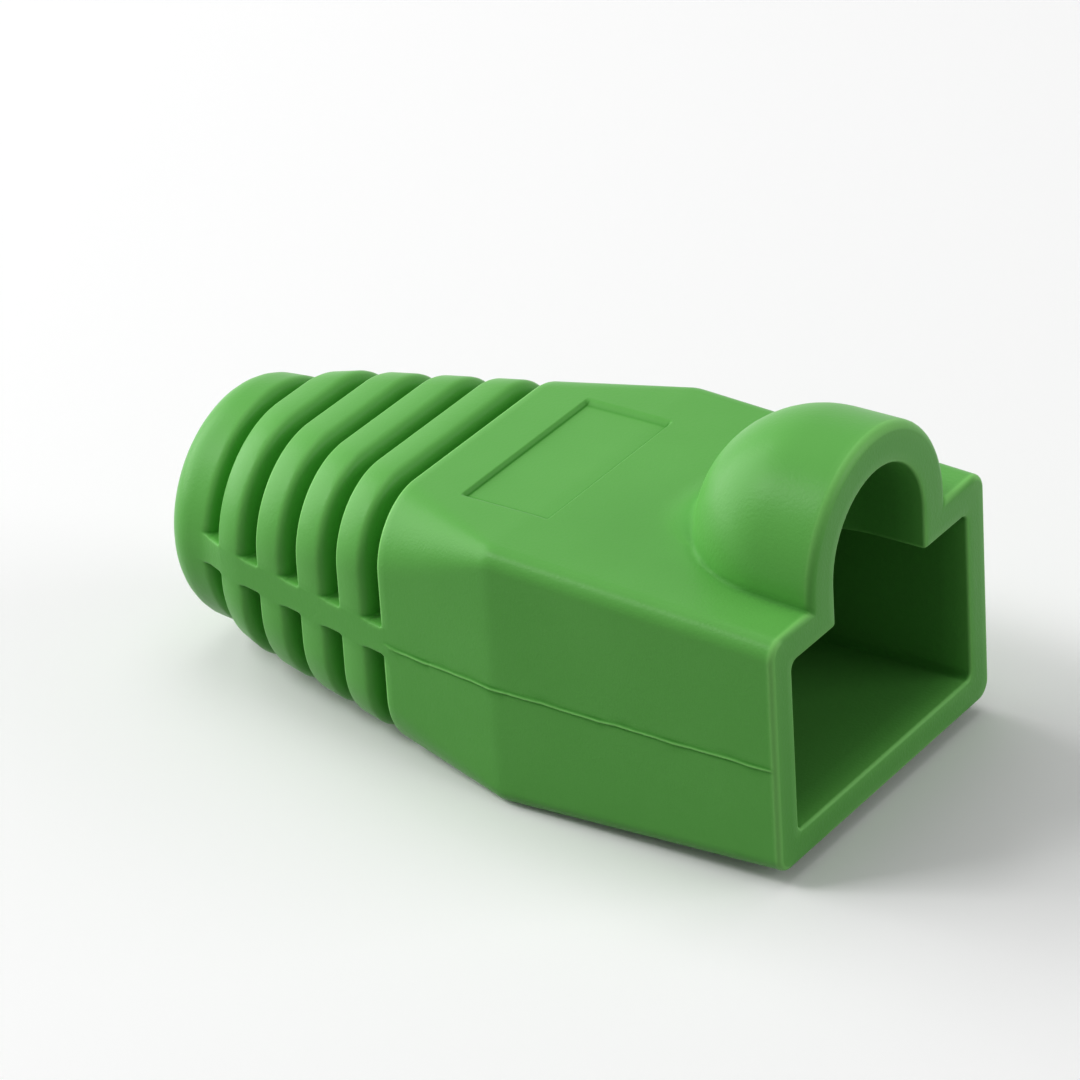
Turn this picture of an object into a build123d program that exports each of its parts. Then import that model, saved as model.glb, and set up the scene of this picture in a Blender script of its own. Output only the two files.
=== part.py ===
from build123d import *
from math import cos, radians, sin
import os

# Strain relief boot for a modular plug, moulded in one piece of soft rubber.
# +X runs out of the plug mouth and +Z points to the latch side. The origin is under the middle of the
# boot, on the surface that it rests on. All sizes are in millimetres.

# plug sleeve, which grows higher from the mouth to the knee
mouth_width = 14.2
mouth_height = 9.2
wall = 1.25
sleeve_length = 11.75
sleeve_edge_radius = 0.7
mouth_rim_rounding = 0.2
pocket_corner_radius = 0.3
pocket_depth = 11.4

# rear body from the knee to the tail, where the narrow sides converge and the edges grow rounder
body_length = 16.95
body_height = 10.35
body_end_width = 12.9
body_end_radius = 2.65
body_end_rounding = 0.15
rear_sections = 5

# tail, with grooves that stop at a spine on each narrow side; the spine starts a step above the parting
# line and rises towards the collar
groove_count = 5
groove_width = 0.56
groove_depth = 1.05
rib_width = 1.48
rib_flank_length = 0.62
rib_flank_depth = 0.9
rib_back_rounding = 0.12
spine_width = 1.2
spine_inset = 0.05
spine_step = 0.15
spine_rise = 0.5

# end collar and the cable's bore
collar_length = 2.45
collar_diameter = 9.35
collar_end_rounding = 1.4
bore_diameter = 6.2
funnel_margin = 0.4

# latch hood, a half barrel with a quarter ball behind it
hood_radius = 4.5
hood_wall = 1.5
hood_lift = 0.35
hood_barrel_length = 2.3
hood_rim_bevel = 0.25

# shallow label field on both wide faces
label_length = 3.55
label_width = 8.0
label_depth = 0.22
label_from_mouth = 11.15

# raised line that the mould leaves on the narrow sides where its halves meet
parting_drop = 0.33
parting_line_width = 0.14
parting_line_proud = 0.07

# flats that stand for a quarter circle: of a rounded rim, and of the small rounding behind each rib
rim_flats = 3
back_flats = 1
# the smallest step between the last rib's outline and the round collar
roundness_step = 0.05
# how far pieces of the moulding reach into each other
overlap = 0.3

# places along the boot
groove_pitch = groove_width + rib_width
ribbed_length = groove_count * groove_pitch - rib_width
total_length = body_length + ribbed_length + collar_length
mouth_x = total_length / 2
knee_x = mouth_x - sleeve_length
body_end_x = mouth_x - body_length
collar_x = body_end_x - ribbed_length
tail_end_x = collar_x - collar_length
pocket_end_x = mouth_x - pocket_depth
bore_x = body_end_x + funnel_margin

# heights
mid_z = body_height / 2
hood_z = mid_z + mouth_height / 2 + hood_lift
parting_z = mid_z - parting_drop


def between(start, end, share):
    """Value that lies a share of the way from start to end."""
    return start + share * (end - start)


def oblong(x, width, height, radius):
    """Rounded rectangle across the boot at x, centred on the boot's axis."""
    plane = Plane(origin=(x, 0, mid_z), x_dir=(0, 1, 0), z_dir=(1, 0, 0))
    return plane * RectangleRounded(width, height, radius)


def body_oblong(x, inset):
    """Outline of the sleeve or of the rear body at x, moved inwards by inset."""
    to_knee = (mouth_x - x) / sleeve_length
    past_knee = (knee_x - x) / (knee_x - body_end_x)
    if x >= knee_x:
        width, height, radius = mouth_width, between(mouth_height, body_height, to_knee), sleeve_edge_radius
    else:
        width, height = between(mouth_width, body_end_width, past_knee), body_height
        radius = between(sleeve_edge_radius, body_end_radius, past_knee)
    return oblong(x, width - 2 * inset, height - 2 * inset, radius - inset)


def tail_oblong(x, inset):
    """Outline of the ribbed tail at x, moved inwards by inset. It grows rounder towards the collar."""
    share = (body_end_x - x) / (ribbed_length + collar_length)
    width = between(body_end_width, collar_diameter, share)
    height = between(body_height, collar_diameter, share)
    radius = between(body_end_radius, collar_diameter / 2 - roundness_step, share)
    return oblong(x, width - 2 * inset, height - 2 * inset, radius - inset)


def rim_arc(run, depth, flats):
    """Quarter of an ellipse from a deep rim up to the surface: distances from the rim, each with its inset."""
    angles = [radians(90 * flat / flats) for flat in range(flats + 1)]
    return [(run * (1 - cos(angle)), depth * (1 - sin(angle))) for angle in angles]


def rim_profile(length, front, back):
    """Distances along a piece, each with the inset of its surface there, from its front rim to its back rim."""
    return front + [(length - distance, inset) for distance, inset in reversed(back)]


def make_body():
    """Sleeve and rear body, with flat narrow sides that turn at the knee."""
    mouth_rim = rim_arc(mouth_rim_rounding, mouth_rim_rounding, rim_flats)
    end_rim = rim_arc(body_end_rounding, body_end_rounding, rim_flats)
    rims = rim_profile(body_length, mouth_rim, end_rim)
    rear_length = body_length - body_end_rounding - sleeve_length
    rear = [(sleeve_length + rear_length * step / rear_sections, 0) for step in range(rear_sections)]
    profile = rims[:rim_flats + 1] + rear + rims[rim_flats + 1:]
    return loft([body_oblong(mouth_x - distance, inset) for distance, inset in profile], ruled=True)


def make_rib(index):
    """One rib, a slice of the tail that swells up softly in front and drops off sharply behind."""
    front_x = body_end_x - groove_width - index * groove_pitch
    flank = rim_arc(rib_flank_length, rib_flank_depth, rim_flats)
    profile = rim_profile(rib_width, flank, rim_arc(rib_back_rounding, rib_back_rounding, back_flats))
    return loft([tail_oblong(front_x - distance, inset) for distance, inset in profile], ruled=True)


def make_groove_floor(index):
    """Inner wall of the tail across one groove."""
    middle_x = body_end_x - groove_width / 2 - index * groove_pitch
    return extrude(tail_oblong(middle_x, groove_depth), groove_width / 2 + overlap, both=True)


def make_collar():
    """Round end collar, turned from its half profile."""
    flank = rim_arc(rib_flank_length, rib_flank_depth, rim_flats)
    rims = rim_profile(collar_length, flank, rim_arc(collar_end_rounding, collar_end_rounding, rim_flats))
    rim_points = [(collar_x - distance, collar_diameter / 2 - inset) for distance, inset in rims]
    half = Polyline((collar_x, 0), *rim_points, (tail_end_x, 0), close=True)
    side_plane = Plane(origin=(0, 0, mid_z), x_dir=(1, 0, 0), z_dir=(0, -1, 0))
    return revolve(side_plane * make_face(half), Axis((0, 0, mid_z), (1, 0, 0)))


def make_spines():
    """Bar across the ribs that rises towards the collar, and shows as a spine on each narrow side."""
    front_y = body_end_width / 2 - spine_inset
    back_y = collar_diameter / 2 - spine_inset
    front_x = body_end_x + overlap
    back_x = collar_x - rib_flank_length
    outline = Polygon((front_x, -front_y), (front_x, front_y), (back_x, back_y), (back_x, -back_y), align=None)
    along, across = (ribbed_length, 0, -spine_rise), (spine_rise, 0, ribbed_length)
    start_z = parting_z + spine_step + body_end_x * spine_rise / ribbed_length
    spine_plane = Plane(origin=(0, 0, start_z), x_dir=along, z_dir=across)
    return extrude(spine_plane * outline, spine_width / 2, both=True)


def make_parting_line():
    """Thin plate through the body, which shows as a fine raised line on each narrow side."""
    front_x = mouth_x - mouth_rim_rounding
    back_x = body_end_x + body_end_rounding
    front_y = mouth_width / 2 + parting_line_proud
    slope = (mouth_width - body_end_width) / 2 / (knee_x - body_end_x)
    back_y = front_y - slope * (knee_x - back_x)
    side = [(front_x, front_y), (knee_x, front_y), (back_x, back_y)]
    outline = Polygon(*side, *[(x, -y) for x, y in reversed(side)], align=None)
    return extrude(Plane.XY.offset(parting_z) * outline, parting_line_width / 2, both=True)


def hood_form(radius, front_x):
    """Barrel along X, closed behind by a ball, and upright below its axis down to the boot's middle."""
    ball_x = mouth_x - hood_barrel_length
    side_plane = Plane(origin=(0, 0, hood_z), x_dir=(1, 0, 0), z_dir=(0, -1, 0))
    outline = Polyline((ball_x - radius, 0), (front_x, 0), (front_x, -radius), (ball_x, -radius))
    outline = outline + CenterArc((ball_x, 0), radius, 180, 90)
    dome = revolve(side_plane * make_face(outline), Axis((0, 0, hood_z), (1, 0, 0)))
    foot = Polyline((ball_x, radius), (front_x, radius), (front_x, -radius), (ball_x, -radius))
    foot = foot + CenterArc((ball_x, 0), radius, 90, 180)
    return dome + extrude(Plane.XY.offset(mid_z) * make_face(foot), hood_z - mid_z)


def make_hood():
    """Outside of the latch hood, with a bevelled front rim."""
    hood = hood_form(hood_radius, mouth_x)
    rim = hood.faces().filter_by(Axis.X).sort_by(Axis.X)[-1].edges()
    return chamfer(rim, hood_rim_bevel)


def make_hollow():
    """The way through the boot for plug and cable: pocket, funnel and bore."""
    pocket_width = mouth_width - 2 * wall
    pocket_height = mouth_height - 2 * wall
    pocket_end = oblong(pocket_end_x, pocket_width, pocket_height, pocket_corner_radius)
    funnel_end = oblong(bore_x, bore_diameter, bore_diameter, pocket_corner_radius)
    pocket = extrude(pocket_end, pocket_depth + overlap)
    funnel = loft([pocket_end, funnel_end], ruled=True)
    bore = Plane(origin=(bore_x, 0, mid_z), z_dir=(-1, 0, 0)) * Circle(bore_diameter / 2)
    return pocket + funnel + extrude(bore, bore_x - tail_end_x + overlap)


def make_labels():
    """The two shallow label fields."""
    label_x = mouth_x - label_from_mouth - label_length / 2
    field = Box(label_length, label_width, 2 * label_depth)
    return [Pos(label_x, 0, z) * field for z in (0, body_height)]


boot = make_body() + make_hood() + [make_groove_floor(index) for index in range(groove_count)]
boot = boot + [make_rib(index) for index in range(groove_count - 1)] + make_collar()
boot = boot + make_spines() + make_parting_line()
boot = boot - make_hollow() - hood_form(hood_radius - hood_wall, mouth_x + overlap) - make_labels()
boot.label = "boot"

os.makedirs("parts", exist_ok=True)
export_step(boot, "parts/boot.step")
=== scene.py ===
import math

import bpy
import numpy as np
from mathutils import Matrix, Vector


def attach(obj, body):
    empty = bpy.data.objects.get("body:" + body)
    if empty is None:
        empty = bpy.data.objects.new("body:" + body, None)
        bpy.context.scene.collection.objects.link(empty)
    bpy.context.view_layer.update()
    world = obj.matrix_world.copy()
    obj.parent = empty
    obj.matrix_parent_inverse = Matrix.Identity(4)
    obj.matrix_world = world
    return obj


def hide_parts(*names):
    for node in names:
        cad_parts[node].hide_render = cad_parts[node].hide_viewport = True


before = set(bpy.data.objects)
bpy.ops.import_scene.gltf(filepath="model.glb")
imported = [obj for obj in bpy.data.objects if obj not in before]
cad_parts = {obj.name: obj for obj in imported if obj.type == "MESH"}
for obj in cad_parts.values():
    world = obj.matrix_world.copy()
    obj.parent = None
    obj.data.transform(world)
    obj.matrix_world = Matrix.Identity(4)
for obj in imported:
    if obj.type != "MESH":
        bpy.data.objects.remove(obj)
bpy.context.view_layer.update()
print("frame loaded")


# the boot's measures in millimetres; x runs out of the mouth, heights count from the boot's own axis
boot = {
    "length": 28.12,
    "axisHeight": 5.175,
    "mouthWidth": 14.2, "mouthHeight": 9.2, "wall": 1.25,
    "mouthRounding": 0.21, "lipRounding": 0.14,
    "sleeveLength": 11.75, "sleeveEdge": 0.7, "kneeSoftness": 0.12,
    "bodyLength": 16.95, "bodyHeight": 10.35,
    "bodyEndWidth": 12.9, "bodyEndEdge": 2.65, "endRounding": 0.16,
    "grooves": 5, "grooveWidth": 0.56, "grooveDepth": 1.05, "grooveFloorRounding": 0.16,
    "ribWidth": 1.48, "flankLength": 0.5, "flankRounding": 0.6, "flankLean": 0.06, "ribBackRounding": 0.13,
    "spineWidth": 1.2, "spineSoftness": 0.07,
    "spineStep": 0.15, "spineStepLength": 0.9, "spineRise": 0.5, "spineClimbEnd": 1.2,
    "collarDiameter": 9.35, "collarRounding": 1.4, "collarShortOfRound": 0.02,
    "collarStartsRound": 0.7, "collarFullyRound": 1.0,
    "bore": 6.2, "boreRim": 0.1,
    "hoodRadius": 4.5, "hoodWall": 1.5, "hoodLift": 0.35, "hoodBarrel": 2.3, "hoodRounding": 0.34,
    "rootNear": 0.07, "rootBack": 1.5,        # reach of the fillet at the hood's root, beside and behind it
    "rootTurn": 0.74, "rootShade": 0.6,       # how far behind it begins to widen, and how dark the painted shade in it is
    "pocketDepth": 11.4, "pocketEdge": 0.3, "funnelMargin": 0.4, "archRounding": 0.12,
    "labelFromMouth": 11.15, "labelLength": 3.55, "labelWidth": 8.0,
    "labelDepth": 0.16, "labelSoftness": 0.09,
    "partingDrop": 0.33, "ridgeHeight": 0.06, "ridgeWidth": 0.06, "ridgeWaver": 0.03,
    "ridgeFromMouth": (0.1, 0.5), "ridgeFromEnd": (0.05, 0.35),    # where it starts, and where it is full
    "leastEdge": 0.2,                         # corner radius that even the floor of a groove keeps
    "sharpEdge": 0.3, "sharpRibEdge": 0.18,   # radius of an edge that fully counts as a rim or crease
    "gentleEdge": 0.55,                       # and of one that no longer does
    "labelSpared": (0.3, 0.5), "spineSpared": 0.75,   # no painted highlight on the edges so far round a label, and less on the spine
    "dullShadeFrom": 0.1, "dullShadeFull": 1.5,         # how deep inside the rubber turns dull and takes its painted shade
}

# how many rows the skin has on each stretch along the boot, how many columns on each side of it, and how
# finely its places are looked for
weave = {
    "mouthRim": 8, "body": 112, "bodyEnd": 5, "flank": 8, "ribBack": 4, "collarEnd": 9,
    "boreRim": 3, "bore": 5, "funnel": 7, "pocket": 26, "lip": 4,
    "top": 50, "bottom": 33, "side": 84,
    "lineSamples": 6000, "halvings": 34, "longestRay": 16.0,
}

mm = 0.001
mouthX = boot["length"] / 2
tailX = -mouthX
kneeX = mouthX - boot["sleeveLength"]
bodyEndX = mouthX - boot["bodyLength"]
groovePitch = boot["grooveWidth"] + boot["ribWidth"]
collarX = bodyEndX - boot["grooves"] * groovePitch + boot["ribWidth"]
collarRadius = boot["collarDiameter"] / 2
ballX = mouthX - boot["hoodBarrel"]
hoodHeight = boot["mouthHeight"] / 2 + boot["hoodLift"]
rootX, archX = 7.6, 9.0      # about where the hood's root and the arch end
pocketEndX = mouthX - boot["pocketDepth"]
boreX = bodyEndX + boot["funnelMargin"]
labelX = mouthX - boot["labelFromMouth"]
labelEndX = labelX - boot["labelLength"]
halfLabel = boot["labelWidth"] / 2
sideWidth, sideHeight = boot["mouthWidth"] / 2, boot["bodyHeight"] / 2


def softStep(low, high, value):
    # 0 below low and 1 above high, and 3t^2 - 2t^3 between them
    t = np.clip((value - low) / (high - low), 0, 1)
    return t * t * (3 - 2 * t)


def spread(start, end, count, fine=()):
    # count places from start to end, closer together near each (place, reach, gain):
    # the summed density 1 + gain e^-((x - place) / reach)^2, read backwards at even steps
    line = np.linspace(start, end, weave["lineSamples"])
    density = np.ones(len(line))
    for place, reach, gain in fine:
        density += gain * np.exp(-((line - place) / reach) ** 2)
    total = np.concatenate(([0], np.cumsum((density[1:] + density[:-1]) / 2)))
    return np.interp(np.linspace(0, total[-1], count), total, line)


def roundStretch(run, depth, count):
    # quarter of an ellipse, from (0, depth) steeply up to (run, 0): run (1 - cos a), depth (1 - sin a)
    angle = np.linspace(0, np.pi / 2, count)
    return run * (1 - np.cos(angle)), depth * (1 - np.sin(angle))


def rimInset(fromRim, rounding):
    # how far a quarter circle has sunk in at some distance from a rim:
    # r (1 - sqrt(1 - t^2)) with t = 1 - distance / r
    t = np.clip(1 - fromRim / rounding, 0, 1)
    return rounding * (1 - np.sqrt(1 - t * t))


def outlineAt(x):
    # half width, half height and corner radius of the outside at x: straight between the stations,
    # averaged over a short stretch so that the knee is a soft crease, and passing into the round collar
    # at the last groove
    stations = [tailX, bodyEndX, kneeX, mouthX]
    halfWidths = [collarRadius, boot["bodyEndWidth"] / 2, sideWidth, sideWidth]
    halfHeights = [collarRadius, sideHeight, sideHeight, boot["mouthHeight"] / 2]
    collarEdge = collarRadius - boot["collarShortOfRound"]
    corners = [collarEdge, boot["bodyEndEdge"], boot["sleeveEdge"], boot["sleeveEdge"]]
    shifts = boot["kneeSoftness"] * np.array([-1.5, -0.5, 0.5, 1.5])
    laws = [sum(np.interp(x + shift, stations, values) for shift in shifts) / len(shifts)
            for values in (halfWidths, halfHeights, corners)]
    startX = collarX + boot["grooveWidth"] + boot["collarStartsRound"]
    roundness = softStep(startX, collarX - boot["collarFullyRound"], x)
    return [law + roundness * (collarRadius - law) for law in laws]


def outsideRows():
    # places along the outside from the mouth to the tail's end, each with how far the surface sits
    # inside the outline: quarter circles at the rims, ellipses on the ribs' fronts, nothing between
    run, _ = roundStretch(boot["hoodRounding"], boot["hoodRounding"], weave["mouthRim"])
    stretches = [(mouthX - run, rimInset(run, boot["mouthRounding"]))]
    fine = [(rootX, 1.0, 2.2), (labelX, 0.13, 16), (labelEndX, 0.13, 16), (kneeX, 0.35, 1.6)]
    body = spread(mouthX - boot["hoodRounding"], bodyEndX + boot["endRounding"], weave["body"], fine)
    stretches.append((body[1:-1], np.zeros(len(body) - 2)))
    run, rise = roundStretch(boot["endRounding"], boot["endRounding"], weave["bodyEnd"])
    stretches.append((bodyEndX + run[::-1], rise[::-1]))
    depth, floor = boot["grooveDepth"], boot["grooveFloorRounding"]
    lean, rounding = boot["flankLean"], boot["flankRounding"]
    flankRun, flankRise = roundStretch(boot["flankLength"] - lean, rounding, weave["flank"])
    backRun, backRise = roundStretch(boot["ribBackRounding"], boot["ribBackRounding"], weave["ribBack"])
    for groove in range(boot["grooves"]):
        frontX = bodyEndX - groove * groovePitch
        ribX = frontX - boot["grooveWidth"]
        # down the steep wall and round onto the groove's floor, up the leaning wall, and over the flank
        stretches.append((frontX - floor * np.array([0.1, 0.4, 1]), depth - floor * np.array([1, 0.3, 0])))
        stretches.append((ribX - lean * np.array([0, 0.5]), np.array([depth, (depth + rounding) / 2])))
        stretches.append((ribX - lean - flankRun, flankRise))
        if groove < boot["grooves"] - 1:
            stretches.append((ribX - boot["ribWidth"] + backRun[::-1], backRise[::-1]))
    run, rise = roundStretch(boot["collarRounding"], boot["collarRounding"], weave["collarEnd"])
    stretches.append((tailX + run[::-1], rise[::-1]))
    return [np.concatenate(column) for column in zip(*stretches)]


def insideRows():
    # places along the way through, from the tail's end to the mouth, each with how far the surface has
    # opened out: quarter circles at its two rims, nothing between
    run, rise = roundStretch(boot["boreRim"], boot["boreRim"], weave["boreRim"])
    lipRun, lipRise = roundStretch(boot["lipRounding"], boot["lipRounding"], weave["lip"])
    bore = spread(tailX + boot["boreRim"], boreX, weave["bore"])[1:]
    funnel = spread(boreX, pocketEndX, weave["funnel"])[1:]
    pocket = spread(pocketEndX, mouthX - boot["lipRounding"], weave["pocket"], [(archX, 0.6, 2.5)])[1:-1]
    middle = np.concatenate([bore, funnel, pocket])
    xs = np.concatenate([tailX + run, middle, mouthX - lipRun[::-1]])
    return xs, np.concatenate([rise, np.zeros(len(middle)), lipRise[::-1]])


def hollowAt(x):
    # half width, half height and corner radius of bore, funnel and pocket: straight between the stations
    stations = [tailX, boreX, pocketEndX, mouthX]
    pocketWidth, pocketHeight = sideWidth - boot["wall"], boot["mouthHeight"] / 2 - boot["wall"]
    bore = boot["bore"] / 2
    laws = ([bore, bore, pocketWidth, pocketWidth], [bore, bore, pocketHeight, pocketHeight],
            [bore, bore, boot["pocketEdge"], boot["pocketEdge"]])
    return [np.interp(x, stations, values) for values in laws]


def spineHeight(x):
    # the spine's height over the axis: a soft step above the parting line at the body's end, and from
    # there an even climb to the collar and a little beyond
    climb = np.clip((bodyEndX - x) / (bodyEndX - collarX), 0, boot["spineClimbEnd"])
    step = boot["spineStep"] * softStep(bodyEndX + boot["spineStepLength"], bodyEndX, x)
    return step - boot["partingDrop"] + boot["spineRise"] * climb


def columnsAround():
    # places round the boot on the box of its outline, right round from the middle of the top: across and
    # up from the axis, closer together at its corners, the label's ends, the hood and the spine
    edge, corner = boot["spineWidth"] / 2, 0.4
    atTop = [(sideWidth - corner, 0.55, 1.6), (halfLabel, 0.14, 5), (boot["hoodRadius"], 0.7, 0.8)]
    atBottom = [(sideWidth - corner, 0.55, 2.2), (halfLabel, 0.14, 8)]
    atSide = [(0, 0.13, 9), (edge, 0.11, 8), (-edge, 0.11, 8)]
    atSide += [(sideHeight - corner, 0.55, 2), (corner - sideHeight, 0.55, 2)]
    top = spread(0, sideWidth, weave["top"], atTop)
    bottom = spread(0, sideWidth, weave["bottom"], atBottom)
    side = spread(sideHeight, -sideHeight, weave["side"], atSide)[1:-1]
    flat, above, below = np.ones(len(side)), np.full(len(top), sideHeight), np.full(len(bottom), -sideHeight)
    across = [top, sideWidth * flat, bottom[::-1], -bottom[1:], -sideWidth * flat, -top[:0:-1]]
    up = [above, side, below, below[1:], side[::-1], above[1:]]
    return np.concatenate(across), np.concatenate(up)


def raysAt(x, across, up):
    # rays from the axis through those places, and how far away these are: sqrt(y^2 + h^2). Places keep
    # their width on the body, narrow with the tail, and on the narrow sides keep their height over the spine
    halfWidth, halfHeight, _ = [law[:, None] for law in outlineAt(x)]
    kept, low = 4.6, 1.2      # half the stretch that keeps its width, half the one that follows the spine
    share = np.minimum(halfWidth / (boot["bodyEndWidth"] / 2), 1)
    size = np.abs(across)
    outer = kept * share + (size - kept) / (sideWidth - kept) * (halfWidth - kept * share)
    y = np.where(size <= kept, size * share, outer)
    middle = spineHeight(x)[:, None]
    beyond = (np.abs(up) - low) / (sideHeight - low)
    h = np.where(np.abs(up) <= low, middle + up,
                 middle + np.sign(up) * low + beyond * (np.sign(up) * (halfHeight - low) - middle))
    y = np.sign(across) * y
    return y, h, np.hypot(y, h)


def fromOutline(y, h, halfWidth, halfHeight, corner):
    # distance from a rounded rectangle: what sticks out of its inner core, less the corner's radius
    outY, outH = np.abs(y) - halfWidth + corner, np.abs(h) - halfHeight + corner
    return np.hypot(np.maximum(outY, 0), np.maximum(outH, 0)) + np.minimum(np.maximum(outY, outH), 0) - corner


def fromHood(x, y, h, radius):
    # distance from the hood's form: from the barrel's line or the ball's middle, upright below it, and
    # only above the axis
    over = np.maximum(h - hoodHeight, 0)
    return np.maximum(np.sqrt(np.minimum(x - ballX, 0) ** 2 + y ** 2 + over ** 2) - radius, -h)


def softUnion(first, second, reach):
    # the lesser of two distances, filled where they are near each other:
    # least - (reach - |difference|)^2 / (4 reach)
    near = np.maximum(reach - np.abs(first - second), 0)
    return np.minimum(first, second) - near ** 2 / (4 * reach)


def meet(distance, dirY, dirH):
    # how far along each ray the distance turns positive, found by halving the stretch that holds the place
    inside, outside = np.zeros_like(dirY), np.full_like(dirY, weave["longestRay"])
    for _ in range(weave["halvings"]):
        middle = (inside + outside) / 2
        isOut = distance(middle * dirY, middle * dirH) > 0
        inside, outside = np.where(isOut, inside, middle), np.where(isOut, middle, outside)
    return (inside + outside) / 2


def outsideRadius(x, inset, across, up):
    # rays meet the soft union of outline and hood, and then the label fields and the parting line move
    # them in or out: softStep products for a field, e^-(distance / width)^2 for the line; edgeHighlightShown
    # says where the painted highlight on the edges may show, which is less on the spine and nowhere round a
    # label field, and shaded how deep a place lies in the fillet at the hood's root, where shade is painted
    y, h, reach = raysAt(x, across, up)
    dirY, dirH = y / reach, h / reach
    onSide = np.abs(up) < sideHeight - 1e-9
    place = x[:, None]
    edge, soft = boot["spineWidth"] / 2, boot["spineSoftness"]
    offSpine = np.abs(h - spineHeight(x)[:, None])
    onSpine = onSide * softStep(edge + soft, edge - soft, offSpine)
    inTail = place < bodyEndX + boot["endRounding"] + 1e-6
    lastGroove = place > collarX - boot["flankLength"] - 1e-6
    sunk = inset[:, None] * np.where(inTail & lastGroove, 1 - onSpine, 1)
    halfWidth, halfHeight, corner = [law[:, None] for law in outlineAt(x)]
    hoodRadius = boot["hoodRadius"] - rimInset(mouthX - place, boot["hoodRounding"])

    def bodyHoodRoot(atY, atH):
        behind = (ballX - place) / np.hypot(ballX - place, atY + 1e-9)
        widening = softStep(boot["rootTurn"], 1.0, behind)
        root = boot["rootNear"] + (boot["rootBack"] - boot["rootNear"]) * widening
        edgeRadius = np.maximum(corner - sunk, boot["leastEdge"])
        body = fromOutline(atY, atH, halfWidth - sunk, halfHeight - sunk, edgeRadius)
        return body, fromHood(place, atY, atH, hoodRadius), root

    radius = meet(lambda atY, atH: softUnion(*bodyHoodRoot(atY, atH)), dirY, dirH)
    body, hood, root = bodyHoodRoot(radius * dirY, radius * dirH)
    shaded = softStep(0, 1, 1 - np.abs(body - hood) / root)
    soft = boot["labelSoftness"]
    pastLength = np.abs(place - (labelX + labelEndX) / 2) - boot["labelLength"] / 2
    pastWidth = np.abs(y) - halfLabel
    onLabel = softStep(soft, -soft, pastLength) * softStep(soft, -soft, pastWidth) * (1 - onSide)
    # the parting line: two slow waves up and down, and an uneven height
    waver = boot["ridgeWaver"] * (np.sin(place * 1.7 + 0.4) + 0.6 * np.sin(place * 4.1 + 2.0)) / 1.6
    offLine = (h + boot["partingDrop"] - waver) / boot["ridgeWidth"]
    uneven = 0.8 + 0.2 * np.sin(place * 9.3 + 1.0) * np.sin(place * 3.1)
    start, full = boot["ridgeFromMouth"]
    onBody = softStep(mouthX - start, mouthX - full, place)
    start, full = boot["ridgeFromEnd"]
    onBody = onBody * softStep(bodyEndX + start, bodyEndX + full, place)
    ridge = onSide * onBody * uneven * np.exp(-offLine ** 2)
    near, far = boot["labelSpared"]
    nearLabel = softStep(far, near, pastLength) * softStep(far, near, pastWidth) * (1 - onSide)
    nearSpine = onSide * inTail * softStep(edge + 0.3, edge + 0.15, offSpine)
    # where the painted highlight on the outward edges may show
    edgeHighlightShown = (1 - nearLabel) * (1 - boot["spineSpared"] * nearSpine)
    fieldDrop = boot["labelDepth"] * onLabel / np.maximum(np.abs(dirH), 0.3)
    return radius - fieldDrop + boot["ridgeHeight"] * ridge, dirY, dirH, edgeHighlightShown, shaded


def insideRadius(x, opened, across, up):
    # rays meet the soft union of pocket, funnel or bore with the arch under the hood
    y, h, reach = raysAt(x, across, up)
    dirY, dirH = y / reach, h / reach
    halfWidth, halfHeight, corner = [law[:, None] + opened[:, None] for law in hollowAt(x)]
    archRadius = boot["hoodRadius"] - boot["hoodWall"] + opened[:, None]

    def distance(atY, atH):
        pocket = fromOutline(atY, atH, halfWidth, halfHeight, corner)
        return softUnion(pocket, fromHood(x[:, None], atY, atH, archRadius), boot["archRounding"])

    return meet(distance, dirY, dirH), dirY, dirH


def bendAt(points):
    # how sharply the skin bends at each point, in 1/mm, positive on an outward edge: the turn of the
    # direction from one side to the other along the normal, over the length between, and of the grid's
    # two ways the stronger
    after = [np.roll(points, -1, way) - points for way in (0, 1)]
    before = [points - np.roll(points, 1, way) for way in (0, 1)]
    normal = np.cross(after[1] + before[1], after[0] + before[0])
    normal /= np.maximum(np.linalg.norm(normal, axis=-1, keepdims=True), 1e-9)
    bends = []
    for ahead, back in zip(after, before):
        aheadLength, backLength = (np.maximum(np.linalg.norm(part, axis=-1), 1e-4) for part in (ahead, back))
        turn = back / backLength[..., None] - ahead / aheadLength[..., None]
        bends.append((turn * normal).sum(-1) * 2 / (aheadLength + backLength))
    return np.where(np.abs(bends[0]) > np.abs(bends[1]), bends[0], bends[1])


def blurred(values, times):
    # mean of each place with its four neighbours on the grid, so many times over
    for _ in range(times):
        values = (2 * values + sum(np.roll(values, step, way) for step in (1, -1) for way in (0, 1))) / 6
    return values


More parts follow.
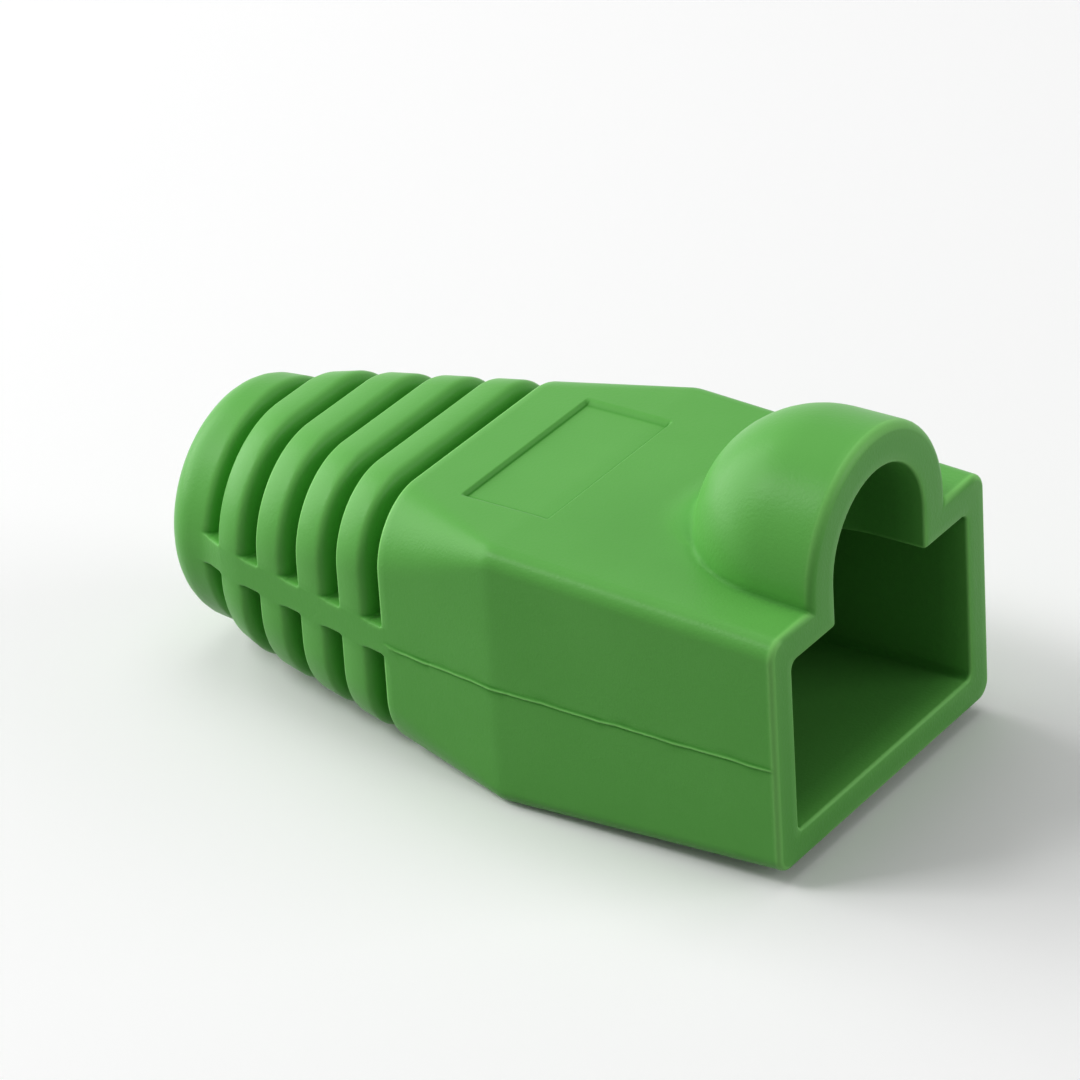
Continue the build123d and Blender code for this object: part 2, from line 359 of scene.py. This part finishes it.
def addClosedMesh(name, points, rows, columns, values):
    # a mesh of four-sided faces over a grid that closes on itself both ways, with values for materials to
    # read; its volume is a sixth of the sum of a . (b x c) over its triangles, and is positive when the
    # faces point outwards
    here = np.arange(rows)[:, None] * columns + np.arange(columns)
    nextRow, nextColumn = np.roll(here, -1, 0), np.roll(here, -1, 1)
    corner = np.roll(nextRow, -1, 1)
    faces = np.stack([here, nextColumn, corner, nextRow], -1).reshape(-1, 4)
    mesh = bpy.data.meshes.new(name)
    mesh.vertices.add(len(points))
    mesh.vertices.foreach_set("co", points.ravel())
    mesh.loops.add(faces.size)
    mesh.loops.foreach_set("vertex_index", faces.ravel())
    mesh.polygons.add(len(faces))
    mesh.polygons.foreach_set("loop_start", np.arange(0, faces.size, 4))
    mesh.update(calc_edges=True)
    mesh.polygons.foreach_set("use_smooth", np.ones(len(faces), bool))
    for title, value in values.items():
        mesh.attributes.new(title, "FLOAT", "POINT").data.foreach_set("value", value.ravel())
    mesh.update()
    mesh.validate()
    piece = bpy.data.objects.new(name, mesh)
    bpy.context.collection.objects.link(piece)
    a, b, c, d = (points[faces[:, k]] for k in range(4))
    volume = (a * np.cross(b, c)).sum() / 6 + (a * np.cross(c, d)).sum() / 6
    print(name, rows, "rows", columns, "columns", 2 * len(faces), "triangles")
    print(name, round(volume / mm ** 3), "cubic mm")
    return piece


def makeBoot():
    # one closed skin: outside from mouth to tail, round the tail's rim, back through the bore, and over
    # the mouth's face in three steps between the two rims
    across, up = columnsAround()
    outX, inset = outsideRows()
    outRadius, outY, outH, edgeHighlightShown, shaded = outsideRadius(outX, inset, across, up)
    inX, opened = insideRows()
    inRadius, inY, inH = insideRadius(inX, opened, across, up)
    shares = np.array([0.33, 0.67])
    faceRows = len(shares)
    faceRadius = inRadius[-1] + shares[:, None] * (outRadius[0] - inRadius[-1])
    xs = np.concatenate([outX, inX, np.full(faceRows, mouthX)])[:, None] + np.zeros_like(across)
    radius = np.concatenate([outRadius, inRadius, faceRadius])
    dirY = np.concatenate([outY, inY, np.repeat(outY[:1], faceRows, 0)])
    dirH = np.concatenate([outH, inH, np.repeat(outH[:1], faceRows, 0)])
    grid = np.stack([xs, radius * dirY, radius * dirH + boot["axisHeight"]], -1)
    # painted highlight on the rims, painted shade in the creases and the hood's root fillet, and the dull
    # inside with painted shade, which deepens with the way from either end
    outside, through = slice(0, len(outX)), slice(len(outX), -faceRows)
    bend = bendAt(grid)
    gentle = 1 / boot["gentleEdge"]
    sharp = 1 / np.where(xs > bodyEndX, boot["sharpEdge"], boot["sharpRibEdge"])
    rim, crease = blurred(softStep(gentle, sharp, bend), 1), blurred(softStep(gentle, sharp, -bend), 2)
    # painted highlight on the rims, kept off round the label and thinned on the spine
    rim[outside] *= edgeHighlightShown
    # painted shade in the creases and in the fillet at the hood's root
    crease[outside] = np.maximum(crease[outside], boot["rootShade"] * shaded)
    inside = np.zeros_like(rim)
    fromEnd = np.minimum(mouthX - inX, inX - tailX)
    # painted shade and dullness inside, growing with the depth from either end
    inside[through] = softStep(boot["dullShadeFrom"], boot["dullShadeFull"], fromEnd)[:, None]
    values = {"rim": rim, "crease": crease, "inside": inside}
    return addClosedMesh("bootSkin", grid.reshape(-1, 3) * mm, *radius.shape, values)


# the moulded rubber
rubber = {
    "name": "bootRubber",
    "colour": (0.106, 0.40, 0.064),
    "paleColour": (0.130, 0.45, 0.083),
    # rimColour is a painted highlight on the outward edges
    "rimColour": (0.26, 0.70, 0.17),
    # creaseColour is painted shade in creases and at the hood's root
    "creaseColour": (0.05, 0.26, 0.03),
    # insideColour is painted shade deep inside the bore and pocket
    "insideColour": (0.045, 0.20, 0.027),
    "rimShare": 0.85, "creaseShare": 1.0, "insideShare": 0.55,    # how much of each colour shows
    "roughness": 0.36, "dullRoughness": 0.9, "shine": 0.15,
    "cloudSize": 0.004,                                           # metres, soft patches of a paler green
    "grainSize": 0.00012, "grainDepth": 0.000008,                 # metres, of the fine moulded grain
}


def makeRubber():
    # clouded green, with the painted highlight of the rim colour and the painted shade of the crease and
    # inside colours over it where the skin's values say, dull in creases and inside, and a fine grain
    material = bpy.data.materials.new(rubber["name"])
    material.use_nodes = True
    nodes, links = material.node_tree.nodes, material.node_tree.links
    shader = nodes["Principled BSDF"]
    place = nodes.new("ShaderNodeTexCoord")
    cloud = nodes.new("ShaderNodeTexNoise")
    cloud.inputs["Scale"].default_value = 1 / rubber["cloudSize"]
    links.new(place.outputs["Object"], cloud.inputs["Vector"])
    blend = nodes.new("ShaderNodeMix")
    blend.data_type = "RGBA"
    blend.inputs[6].default_value = (*rubber["colour"], 1)
    blend.inputs[7].default_value = (*rubber["paleColour"], 1)
    links.new(cloud.outputs["Fac"], blend.inputs[0])
    colour, readers = blend.outputs[2], {}
    for name in ("rim", "crease", "inside"):
        readers[name] = reader = nodes.new("ShaderNodeAttribute")
        reader.attribute_name = name
        weight = nodes.new("ShaderNodeMath")
        weight.operation = "MULTIPLY"
        weight.inputs[1].default_value = rubber[name + "Share"]
        links.new(reader.outputs["Fac"], weight.inputs[0])
        over = nodes.new("ShaderNodeMix")
        over.data_type = "RGBA"
        over.inputs[7].default_value = (*rubber[name + "Colour"], 1)
        links.new(weight.outputs[0], over.inputs[0])
        links.new(colour, over.inputs[6])
        colour = over.outputs[2]
    links.new(colour, shader.inputs["Base Color"])
    dull = nodes.new("ShaderNodeMapRange")
    dull.inputs["To Min"].default_value = rubber["roughness"]
    dull.inputs["To Max"].default_value = rubber["dullRoughness"]
    either = nodes.new("ShaderNodeMath")
    either.operation = "MAXIMUM"
    links.new(readers["crease"].outputs["Fac"], either.inputs[0])
    links.new(readers["inside"].outputs["Fac"], either.inputs[1])
    links.new(either.outputs[0], dull.inputs["Value"])
    links.new(dull.outputs[0], shader.inputs["Roughness"])
    grain = nodes.new("ShaderNodeTexNoise")
    grain.inputs["Scale"].default_value = 1 / rubber["grainSize"]
    links.new(place.outputs["Object"], grain.inputs["Vector"])
    bump = nodes.new("ShaderNodeBump")
    bump.inputs["Distance"].default_value = rubber["grainDepth"]
    links.new(grain.outputs["Fac"], bump.inputs["Height"])
    links.new(bump.outputs["Normal"], shader.inputs["Normal"])
    shader.inputs["Specular IOR Level"].default_value = rubber["shine"]
    return material


rubberMaterial = makeRubber()
skin = makeBoot()
skin.data.materials.append(rubberMaterial)
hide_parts("boot")
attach(skin, "root")
print("boot moulded")


# pale table and the light round it
stage = {
    "floorReach": 3.0,                    # metres each way
    "floorColour": (0.27, 0.28, 0.27),    # what the floor throws back at the boot
    "seenColour": (0.99, 0.99, 0.99),     # what the camera sees of it
    "floorRoughness": 0.9,
    "skyColour": (1.0, 1.0, 1.0),
    "skyLight": 0.2,                      # what the sky gives the boot; the camera sees it at 1
}


def raysThatSee(nodes, links):
    # 1 for camera, glossy and transmission rays, 0 for the soft light that the object gets
    path = nodes.new("ShaderNodeLightPath")
    total = path.outputs["Is Camera Ray"]
    for kind in ("Is Glossy Ray", "Is Transmission Ray"):
        either = nodes.new("ShaderNodeMath")
        either.operation = "MAXIMUM"
        links.new(total, either.inputs[0])
        links.new(path.outputs[kind], either.inputs[1])
        total = either.outputs[0]
    return total


def makeFloor():
    reach = stage["floorReach"]
    corners = [(-reach, -reach, 0), (reach, -reach, 0), (reach, reach, 0), (-reach, reach, 0)]
    mesh = bpy.data.meshes.new("floor")
    mesh.from_pydata(corners, [], [(0, 1, 2, 3)])
    floor = bpy.data.objects.new("floor", mesh)
    bpy.context.collection.objects.link(floor)
    material = bpy.data.materials.new("floorPaper")
    material.use_nodes = True
    nodes, links = material.node_tree.nodes, material.node_tree.links
    shader = nodes["Principled BSDF"]
    blend = nodes.new("ShaderNodeMix")
    blend.data_type = "RGBA"
    blend.inputs[6].default_value = (*stage["floorColour"], 1)
    blend.inputs[7].default_value = (*stage["seenColour"], 1)
    links.new(raysThatSee(nodes, links), blend.inputs[0])
    links.new(blend.outputs[2], shader.inputs["Base Color"])
    shader.inputs["Roughness"].default_value = stage["floorRoughness"]
    mesh.materials.append(material)


def makeSky():
    world = bpy.data.worlds.new("studio")
    bpy.context.scene.world = world
    world.use_nodes = True
    nodes, links = world.node_tree.nodes, world.node_tree.links
    sky = nodes["Background"]
    sky.inputs["Color"].default_value = (*stage["skyColour"], 1)
    level = nodes.new("ShaderNodeMapRange")
    level.inputs["To Min"].default_value = stage["skyLight"]
    level.inputs["To Max"].default_value = 1
    links.new(raysThatSee(nodes, links), level.inputs["Value"])
    links.new(level.outputs[0], sky.inputs["Strength"])


makeFloor()
makeSky()

# soft boxes, all turned to the middle of the boot; metres and watts
lampAim = (0, 0, 0.005)
lamps = [
    {"name": "overhead", "place": (-0.03, 0.08, 0.41), "width": 0.30, "power": 0.36},
    {"name": "leftBox", "place": (-0.41, -0.05, 0.19), "width": 0.40, "power": 1.75},
    {"name": "window", "place": (-0.24, -0.19, 0.35), "width": 0.13, "power": 0.58},
    {"name": "farBox", "place": (0.34, 0.16, 0.15), "width": 0.24, "power": 0.4},
]


def turnedTowards(place, aim, roll=0.0):
    # at a place, looking along -z at the aim, and rolled about that line
    turn = (Vector(aim) - Vector(place)).to_track_quat("-Z", "Y").to_matrix().to_4x4()
    return Matrix.Translation(place) @ turn @ Matrix.Rotation(math.radians(roll), 4, "Z")


for lamp in lamps:
    light = bpy.data.lights.new(lamp["name"], "AREA")
    light.size, light.energy = lamp["width"], lamp["power"]
    holder = bpy.data.objects.new(lamp["name"], light)
    bpy.context.collection.objects.link(holder)
    holder.matrix_world = turnedTowards(lamp["place"], lampAim)
print("floor and lamps stand")


# camera at the photograph's angle
cameraSet = {
    "aim": (-0.0003, 0.0, 0.0066),
    "azimuth": 35.61,      # degrees from the front towards the mouth
    "elevation": 29.27,
    "roll": -3.69,
    "distance": 0.22396,
    "lens": 208.0, "sensorWidth": 36,
}


def makeCamera():
    # on a sphere round the aim: (sin turn cos rise, -cos turn cos rise, sin rise) times the distance
    turn, rise = math.radians(cameraSet["azimuth"]), math.radians(cameraSet["elevation"])
    away = Vector((math.sin(turn) * math.cos(rise), -math.cos(turn) * math.cos(rise), math.sin(rise)))
    data = bpy.data.cameras.new("camera")
    data.lens, data.sensor_width = cameraSet["lens"], cameraSet["sensorWidth"]
    data.clip_start, data.clip_end = 0.01, 20
    camera = bpy.data.objects.new("camera", data)
    bpy.context.collection.objects.link(camera)
    place = Vector(cameraSet["aim"]) + away * cameraSet["distance"]
    camera.matrix_world = turnedTowards(place, cameraSet["aim"], cameraSet["roll"])
    bpy.context.scene.camera = camera


makeCamera()
bpy.context.scene.view_settings.view_transform = "Standard"
print("camera stands")
